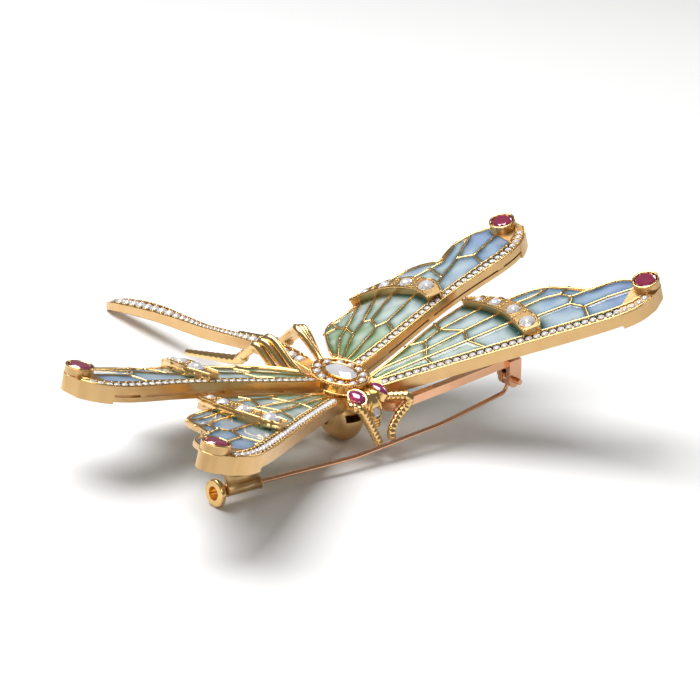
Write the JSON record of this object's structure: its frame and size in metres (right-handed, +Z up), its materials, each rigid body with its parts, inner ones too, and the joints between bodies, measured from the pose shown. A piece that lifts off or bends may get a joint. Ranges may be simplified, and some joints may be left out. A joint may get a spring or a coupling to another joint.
{
  "type": "dragonfly brooch",
  "caption": "Dragonfly brooch with window-enamel wings, diamond rails and crescents, ruby eyes and wing tips, and a hinged pin closed by a sliding tube catch.",
  "frame": {"origin": "centre of the brooch's box, on the surface that it rests on", "axes": "+Y along the tail, +X across the wings to the brooch's right (hinge side), +Z up from the surface it rests on"},
  "size_m": [0.0964, 0.0958, 0.0309],
  "materials": {
    "yellow_gold": "polished yellow gold, satin on the side walls",
    "rose_gold": "polished rose gold",
    "window_enamel": "translucent enamel, green at the root to blue and lilac at the tip",
    "diamond": "cut stone",
    "ruby": "cut stone and cabochon"
  },
  "bodies": {
    "brooch": {"abdomen": "yellow_gold", "belly": "yellow_gold", "catch_arm": "yellow_gold", "centre_diamond": "diamond", "crescent_diamond_fore_left_1": "diamond", "crescent_diamond_fore_left_2": "diamond", "crescent_diamond_fore_left_3": "diamond", "crescent_diamond_fore_left_4": "diamond", "crescent_diamond_fore_right_1": "diamond", "crescent_diamond_fore_right_2": "diamond", "crescent_diamond_fore_right_3": "diamond", "crescent_diamond_fore_right_4": "diamond", "crescent_diamond_hind_left_1": "diamond", "crescent_diamond_hind_left_2": "diamond", "crescent_diamond_hind_left_3": "diamond", "crescent_diamond_hind_left_4": "diamond", "crescent_diamond_hind_right_1": "diamond", "crescent_diamond_hind_right_2": "diamond", "crescent_diamond_hind_right_3": "diamond", "crescent_diamond_hind_right_4": "diamond", "enamel_fore_left": "window_enamel", "enamel_fore_right": "window_enamel", "enamel_hind_left": "window_enamel", "enamel_hind_right": "window_enamel", "eye_left": "ruby", "eye_right": "ruby", "front_leg_left": "yellow_gold", "front_leg_right": "yellow_gold", "halo_diamonds": "diamond", "head": "yellow_gold", "head_diamond": "diamond", "hind_leg_left": "yellow_gold", "hind_leg_right": "yellow_gold", "hinge_arm": "rose_gold", "hinge_rivet": "rose_gold", "rail_pave_fore_left": "diamond", "rail_pave_fore_right": "diamond", "rail_pave_hind_left": "diamond", "rail_pave_hind_right": "diamond", "tail_pave": "diamond", "thorax": "yellow_gold", "tip_ruby_fore_left": "ruby", "tip_ruby_fore_right": "ruby", "tip_ruby_hind_left": "ruby", "tip_ruby_hind_right": "ruby", "wing_frame_fore_left": "yellow_gold", "wing_frame_fore_right": "yellow_gold", "wing_frame_hind_left": "yellow_gold", "wing_frame_hind_right": "yellow_gold"},
    "pin": {"pin_stem": "rose_gold"},
    "sleeve": {"catch_sleeve": "yellow_gold"}
  },
  "joints": [
    {"name": "pin_swing", "type": "hinge", "parent": "brooch", "child": "pin", "pos_m": [0.0291, -0.03102, 0.01019], "axis": [0, -1, 0], "range_deg": [0, 70]},
    {"name": "sleeve_slide", "type": "slide", "parent": "brooch", "child": "sleeve", "axis": [-1, 0, 0], "range_m": [0, 0.0045]}
  ]
}
